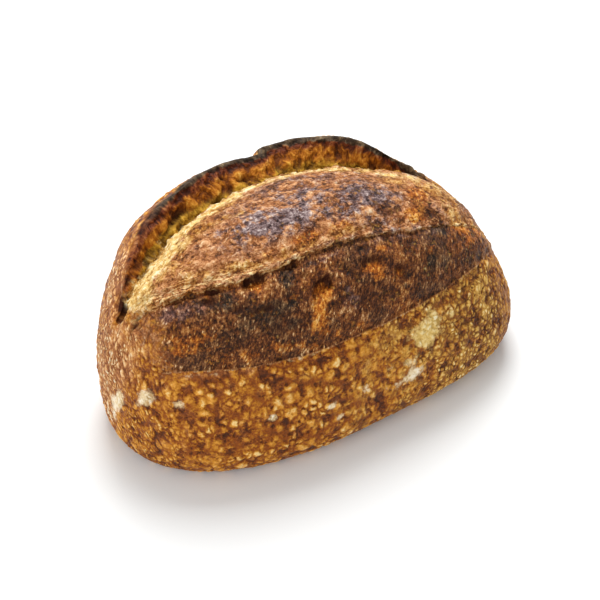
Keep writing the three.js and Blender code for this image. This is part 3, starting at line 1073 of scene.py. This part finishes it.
@dataclass
class Loaf:
    """The loaf's crust, as baked: one closed skin, shaped, sculpted and tinted. Depths and reaches in mm."""

    name: str = "sourdough_crust"
    weave: Weave = field(default_factory=Weave)
    score: Score = field(default_factory=Score)
    sculptor: Sculptor = field(default_factory=Sculptor)
    lobe_left: Pair = (-116.0, -92.0)
    lobe_right: Pair = (98.0, 112.0)
    end_reach: Pair = (92.0, 116.0)
    base_reach: Pair = (0.5, 6.0)
    # Depths in mm at which the painted shade in pits, cavities and under the arches' top edges is full.
    dark_pit: float = 2.4
    dark_cavity: float = 4.2
    dark_rim: float = 3.0

    def build(self) -> bpy.types.Object:
        """Makes the finished crust, hangs it under the root body and hides the part that it stands for."""
        low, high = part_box(NODE)
        body = PlainBody(half_length=(high.x - low.x) / 2 / MM)
        grid = CrustGrid(body, self.score, self.weave)
        grid.push(self.sculptor.height(grid))
        crust = self.start()
        places = self.vertex_places(crust)
        self.reshape(crust, grid, places)
        self.paint(crust, grid, places)
        self.roughen(crust)
        crust.data.materials.append(CrustMaterial().build())
        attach(crust, "root")
        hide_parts(NODE)
        return crust

    def start(self) -> bpy.types.Object:
        """A sphere with the crust's rings and lines, its poles on Z."""
        bpy.ops.object.select_all(action="DESELECT")
        bpy.ops.mesh.primitive_uv_sphere_add(segments=self.weave.lines, ring_count=self.weave.rings)
        crust = bpy.context.active_object
        crust.name = self.name
        crust.data.name = self.name
        crust.data.uv_layers[0].name = BAKE_MAP
        bpy.ops.object.shade_smooth()
        return crust

    def vertex_places(self, crust: bpy.types.Object) -> Places:
        """The ring and the line of each of the sphere's vertices."""
        co = np.empty(len(crust.data.vertices) * 3, np.float32)
        crust.data.vertices.foreach_get("co", co)
        x, y, z = co.reshape(-1, 3).astype(float).T
        ring = np.rint(np.arccos(np.clip(z, -1, 1)) / np.pi * self.weave.rings).astype(int)
        line = np.rint(np.arctan2(y, x) / (2 * np.pi) * self.weave.lines).astype(int) % self.weave.lines
        return ring, line

    def reshape(self, crust: bpy.types.Object, grid: CrustGrid, places: Places) -> None:
        """Moves the sphere's vertices to the grid's points and writes where each was before the relief."""
        points = grid.points[places] * MM
        crust.data.vertices.foreach_set("co", points.astype(np.float32).ravel())
        crust.data.update()
        bpy.ops.object.mode_set(mode="EDIT")
        bpy.ops.mesh.select_all(action="SELECT")
        bpy.ops.mesh.normals_make_consistent(inside=False)
        bpy.ops.object.mode_set(mode="OBJECT")
        flow = np.stack([np.broadcast_to(grid.walked, grid.x.shape), grid.above(SEAM), 0 * grid.x], -1)
        self.attribute(crust, "rest", grid.rest[places])
        self.attribute(crust, "flow", flow[places])

    def attribute(self, crust: bpy.types.Object, name: str, values: Array) -> None:
        """Writes numbers or vectors on the crust's vertices."""
        vectors = values.ndim == 2
        made = crust.data.attributes.new(name, "FLOAT_VECTOR" if vectors else "FLOAT", "POINT")
        made.data.foreach_set("vector" if vectors else "value", values.astype(np.float32).ravel())

    def paint(self, crust: bpy.types.Object, grid: CrustGrid, places: Places) -> None:
        """Writes the distances, masks and tints that the relief and the material read."""
        x = grid.x
        fields = {
            "from_seam": grid.above(SEAM),
            "from_ridge": grid.above(RIDGE),
            "from_edge": grid.above(EDGE),
            "from_lip": grid.above(LIP),
            "lobes": smooth_step(*self.lobe_left, x) * (1 - smooth_step(*self.lobe_right, x)),
            "opened": grid.opened,
            "end": smooth_step(*self.end_reach, np.abs(x)),
            "blush": BLUSH.cover(grid),
            "depth": self.depths(grid),
        }
        fields |= {paint.name: paint.cover(grid) for paint in PAINTS}
        for name, values in fields.items():
            self.attribute(crust, name, values[places])

    def depths(self, grid: CrustGrid) -> Array:
        """How much of a pit each point is in, from 0 to 1, for the painted shade that darkens pits, cavities
        and the strips under the arches' top edges.
        """
        depths = [pit.weight(grid) / self.dark_pit for pit in PITS]
        depths += [cavity.weight(grid) / self.dark_cavity for cavity in CAVITIES]
        depths += [arch.rim(grid) * arch.depth / self.dark_rim for arch in ARCHES]
        return np.clip(np.max(depths, axis=0), 0, 1)

    def roughen(self, crust: bpy.types.Object) -> None:
        """Pushes the small relief into the mesh, through nodes that read the same patterns as the colour."""
        tree = bpy.data.node_groups.new("crust_roughen", TreeKind.GEOMETRY.value)
        for way in ("INPUT", "OUTPUT"):
            tree.interface.new_socket("Geometry", in_out=way, socket_type="NodeSocketGeometry")
        p = Pattern(tree)
        given = p.node("NodeGroupInput").outputs[0]
        relief = p.node("GeometryNodeGroup", node_tree=ReliefGroup().build(TreeKind.GEOMETRY))
        for name in VECTORS + ATTRIBUTES:
            kind = "FLOAT_VECTOR" if name in VECTORS else "FLOAT"
            read = p.node("GeometryNodeInputNamedAttribute", {"Name": name}, data_type=kind)
            tree.links.new(read.outputs["Attribute"], relief.inputs[name])
        normal = p.node("GeometryNodeInputNormal").outputs[0]
        height_of = p.axis(p.node("GeometryNodeInputPosition").outputs[0], "Z")
        clear = p.both(height_of, *(reach * MM for reach in self.base_reach))
        height = p.times(relief.outputs["Height"], clear, MM)
        stack = p.node("ShaderNodeCombineXYZ", {0: height, 1: height, 2: height}).outputs[0]
        offset = p.vector_math("MULTIPLY", normal, stack)
        moved = p.node("GeometryNodeSetPosition", {"Geometry": given, "Offset": offset}).outputs[0]
        p.node("NodeGroupOutput", {0: moved})
        modifier = crust.modifiers.new("roughen", "NODES")
        modifier.node_group = tree
        bpy.context.view_layer.objects.active = crust
        bpy.ops.object.modifier_apply(modifier=modifier.name)


@dataclass(frozen=True)
class CrustMaterial:
    """The crust's one material, in which each zone and tint has its own finish."""

    name: str = "sourdough_crust"
    bump: float = 1.0
    specular: float = 0.16
    # The colour of the painted shade in pits, cavities and under the arches' top edges.
    pit_shade: str = "3a180a"
    pit_shade_roughness: float = 0.8

    def build(self) -> bpy.types.Material:
        """Makes the material."""
        material = bpy.data.materials.new(self.name)
        material.use_nodes = True
        tree = material.node_tree
        tree.nodes.clear()
        p = Pattern(tree)
        read = {name: self.read(p, name) for name in VECTORS + ATTRIBUTES + ("depth",)}
        read |= {paint.name: self.read(p, paint.name) for paint in PAINTS}
        group = p.node("ShaderNodeGroup", node_tree=ReliefGroup().build(TreeKind.SHADER))
        for name in VECTORS + ATTRIBUTES:
            tree.links.new(read[name], group.inputs[name])
        zone = group.outputs
        colour, roughness = self.coats(p, read, zone)
        height = p.node("ShaderNodeBump", {
            "Height": zone["Height"], "Strength": self.bump, "Distance": MM,
        })
        shader = p.node("ShaderNodeBsdfPrincipled", {
            "Base Color": colour, "Roughness": roughness, "Normal": height.outputs[0],
            "Specular IOR Level": self.specular,
        })
        p.node("ShaderNodeOutputMaterial", {"Surface": shader.outputs[0]})
        return material

    def read(self, p: Pattern, name: str) -> Socket:
        """Reads one of the crust's attributes."""
        node = p.node("ShaderNodeAttribute", attribute_name=name)
        return node.outputs["Vector" if name in VECTORS else "Fac"]

    def coats(self, p: Pattern, read: dict[str, Socket], zone: Sockets) -> Coat:
        """The colour and the roughness of the whole crust."""
        patchy = p.wave(read["rest"], 3.2, 4.0, 0.65)
        loose = p.wave(read["rest"], 9.0, 4.0, 0.6)
        ragged = p.add(p.times(patchy, 0.75), loose)
        torn = {paint.name: self.torn(p, read[paint.name], ragged) for paint in PAINTS}
        x = p.axis(read["rest"], "X")
        coat = self.skin(p, read, zone["Skin Tone"], x, ragged)
        front, middle = self.lobes(p, read["rest"], zone["Lobe Tone"], torn, x, loose, ragged)
        coat = p.layered(coat, (zone["Front Lobe"], front), (zone["Middle Lobe"], middle))
        strands = p.math("MAXIMUM", zone["Ridge Line"], p.times(zone["Threads"], 0.9))
        yellow = p.times(p.both(x, -60.0, 10.0), p.both(read["from_seam"], -36.0, -24.0))
        flour = p.over(yellow, CHALK.coat(p, zone["Skin Tone"]), DUST.coat(p, zone["Skin Tone"]))
        return p.layered(
            self.tear(p, coat, zone, x, loose),
            (torn["cream"], PALE.coat(p, p.add(zone["Lobe Tone"], 0.04))),
            (p.times(zone["Seam Line"], 0.6), MAUVE.coat(p, p.add(zone["Lobe Tone"], 0.1))),
            (p.times(strands, p.both(x, 60.0, -30.0)), SKEIN.coat(p, zone["Lobe Tone"])),
            (torn["flour"], flour),
            # Painted shade over the pits, the cavities and the strips under the arches' top edges.
            (p.times(read["depth"], p.scaled(patchy, 0.5, 0.95)), (linear(self.pit_shade), self.pit_shade_roughness)),
        )

    def torn(self, p: Pattern, amount: Socket, ragged: Socket) -> Socket:
        """The amount of a tint, torn by noise and left at 0 where there is none of the tint."""
        rough = p.both(p.weighted(amount, (ragged, 0.8)), 0.25, 0.75)
        return p.times(rough, p.both(amount, 0.03, 0.22))

    def skin(self, p: Pattern, read: dict[str, Socket], tone: Socket, x: Socket, ragged: Socket) -> Coat:
        """The pebbled skin: amber on the left, olive-tan on the right, with russet patches, and painted
        shade that darkens the right end towards russet.
        """
        patches = p.both(p.noise(read["rest"], 6.5, 3.0), 0.5, 0.62)
        russet_and_end_shade = RUSSET_AND_END_SHADE.coat(p, tone)
        return p.layered(
            AMBER.coat(p, tone),
            (p.both(p.weighted(x, (ragged, 170.0)), -50.0, 90.0), TAN.coat(p, tone)),
            (p.times(patches, 0.8), russet_and_end_shade),
            # Painted shade: the right end darkened towards russet.
            (p.times(p.both(x, 84.0, 106.0), 0.7), russet_and_end_shade),
            (p.both(p.weighted(read["blush"], (ragged, 0.9)), 0.1, 0.95), MAUVE.coat(p, tone)),
        )

    def lobes(
        self, p: Pattern, rest: Socket, tone: Socket, torn: dict[str, Socket], x: Socket, loose: Socket,
        ragged: Socket,
    ) -> tuple[Coat, Coat]:
        """The front lobe, dark and rusty, and the middle one, toasted and frosted in clouds, the grey
        frosting partly the crust's own bloom and partly a painted sheen.
        """
        bloom, burnt, rust = BLOOM.coat(p, tone), BURNT.coat(p, tone), RUST.coat(p, tone)
        ember, hoar_and_sheen = EMBER.coat(p, tone), HOAR_AND_SHEEN.coat(p, tone)
        slow = p.noise(p.vector_math("ADD", rest, (7.0, 0.0, 0.0)), 17.0, 3.0)
        paler = p.both(p.weighted(x, (ragged, 10.0)), -94.0, -110.0)
        hoary_and_sheen = p.times(p.both(ragged, -0.2, 0.4), p.both(x, -95.0, -35.0))
        front = p.layered(
            bloom,
            (p.times(p.both(slow, 0.53, 0.6), 0.45), burnt),
            (p.times(p.both(slow, 0.47, 0.4), 0.16), rust),
            (p.both(ragged, 0.2, 0.7), rust),
            (p.times(paler, 0.6), ember),
            (torn["char"], burnt),
            (torn["toast"], rust),
            (p.times(torn["frost_and_sheen"], 0.45), hoar_and_sheen),
            (p.times(torn["gilt"], p.both(x, 70.0, 82.0)), rust),
        )
        middle = p.layered(
            ember,
            (hoary_and_sheen, hoar_and_sheen),
            (p.both(loose, 0.05, 0.3), bloom),
            (torn["toast"], ember),
            (torn["frost_and_sheen"], hoar_and_sheen),
            (torn["rust"], rust),
            (torn["gilt"], GILT.coat(p, tone)),
            (torn["char"], bloom),
        )
        return front, middle

    def tear(self, p: Pattern, coat: Coat, zone: Sockets, x: Socket, loose: Socket) -> Coat:
        """The trench's crumb, singed towards the ear, and the ear's charred lip."""
        tone, lip = zone["Crumb Tone"], zone["Lip Distance"]
        singed = SINGED.coat(p, tone)
        inside = p.times(lip, p.scaled(p.both(x, -90.0, -20.0), -0.55, 1.4))
        inside = p.weighted(inside, (loose, 5.0))
        crumb = p.layered(
            CRUMB.coat(p, tone),
            (p.both(inside, -16.0, -11.5), GLOW.coat(p, tone)),
            (p.times(p.both(inside, -8.2, -4.2), p.both(x, -102.0, -80.0)), singed),
        )
        wide = p.times(p.both(x, -70.0, 20.0), 3.0)
        charred = p.times(p.both(p.add(lip, wide), -2.0, -0.2), p.both(x, -92.0, -62.0))
        fade = p.weighted(lip, (loose, 4.0), (wide, -0.6))
        left = p.both(p.weighted(x, (loose, 12.0)), -110.0, -90.0)
        lip_coat = p.over(charred, singed, COAL.coat(p, tone))
        shown = p.times(zone["Lip"], p.both(fade, 8.0, 3.0), left)
        return p.layered(coat, (zone["Trench"], crumb), (shown, lip_coat))


# ------------------------------------------------------------------------------------------ the studio


@dataclass(frozen=True)
class Lamp:
    """A square soft light: where it stands and how wide it is, in metres, and its power in watts."""

    name: str
    place: Triple
    size: float
    power: float

    def build(self) -> None:
        """Makes the lamp, aimed at the loaf."""
        data = bpy.data.lights.new(self.name, "AREA")
        data.size = self.size
        data.energy = self.power
        lamp = bpy.data.objects.new(self.name, data)
        bpy.context.scene.collection.objects.link(lamp)
        lamp.location = self.place
        lamp.rotation_euler = Vector(self.place).to_track_quat("Z", "Y").to_euler()


@dataclass(frozen=True)
class Studio:
    """A white table, two soft lamps and an even white room. Metres and degrees."""

    azimuth: float = -32.7
    elevation: float = 42.0
    distance: float = 0.75
    lens: float = 77.5
    aim: Triple = (-0.0009, 0.0012, 0.0467)
    floor_size: float = 8.0
    floor_white: Triple = (0.915, 0.93, 0.93)
    floor_roughness: float = 0.9
    floor_specular: float = 0.1
    clip_start: float = 0.01
    room_light: float = 0.57
    lamps: tuple[Lamp, ...] = (
        Lamp("key", (0.3, 0.52, 1.05), 0.65, 14.0),
        Lamp("fill", (-1.0, -0.45, 0.6), 0.8, 4.6),
    )

    def build(self) -> None:
        """Makes the camera, the floor and the lights."""
        self.camera()
        self.floor()
        self.lights()
        bpy.context.scene.view_settings.view_transform = "Standard"

    def camera(self) -> None:
        """Aims the camera at the loaf."""
        data = bpy.data.cameras.new("camera")
        data.lens = self.lens
        data.clip_start = self.clip_start
        camera = bpy.data.objects.new("camera", data)
        bpy.context.scene.collection.objects.link(camera)
        turn, tilt = math.radians(self.azimuth), math.radians(self.elevation)
        back = Vector((math.sin(turn) * math.cos(tilt), -math.cos(turn) * math.cos(tilt), math.sin(tilt)))
        camera.location = Vector(self.aim) + back * self.distance
        camera.rotation_euler = back.to_track_quat("Z", "Y").to_euler()
        bpy.context.scene.camera = camera

    def floor(self) -> None:
        """A plain white floor under the loaf."""
        bpy.ops.object.select_all(action="DESELECT")
        bpy.ops.mesh.primitive_plane_add(size=self.floor_size)
        floor = bpy.context.active_object
        floor.name = "floor"
        material = bpy.data.materials.new("white_table")
        material.use_nodes = True
        shader = material.node_tree.nodes["Principled BSDF"]
        shader.inputs["Base Color"].default_value = (*self.floor_white, 1)
        shader.inputs["Roughness"].default_value = self.floor_roughness
        shader.inputs["Specular IOR Level"].default_value = self.floor_specular
        floor.data.materials.append(material)

    def lights(self) -> None:
        """The room's even light and the soft lamps."""
        world = bpy.data.worlds.new("room")
        bpy.context.scene.world = world
        world.use_nodes = True
        background = world.node_tree.nodes["Background"].inputs
        background["Color"].default_value = (1, 1, 1, 1)
        background["Strength"].default_value = self.room_light
        for lamp in self.lamps:
            lamp.build()


def main() -> None:
    """Builds the studio and the loaf, and reports each piece."""
    Studio().build()
    crust = Loaf().build()
    LOG.info("%s: %d vertices, %d faces", crust.name, len(crust.data.vertices), len(crust.data.polygons))


if __name__ == "__main__":
    main()
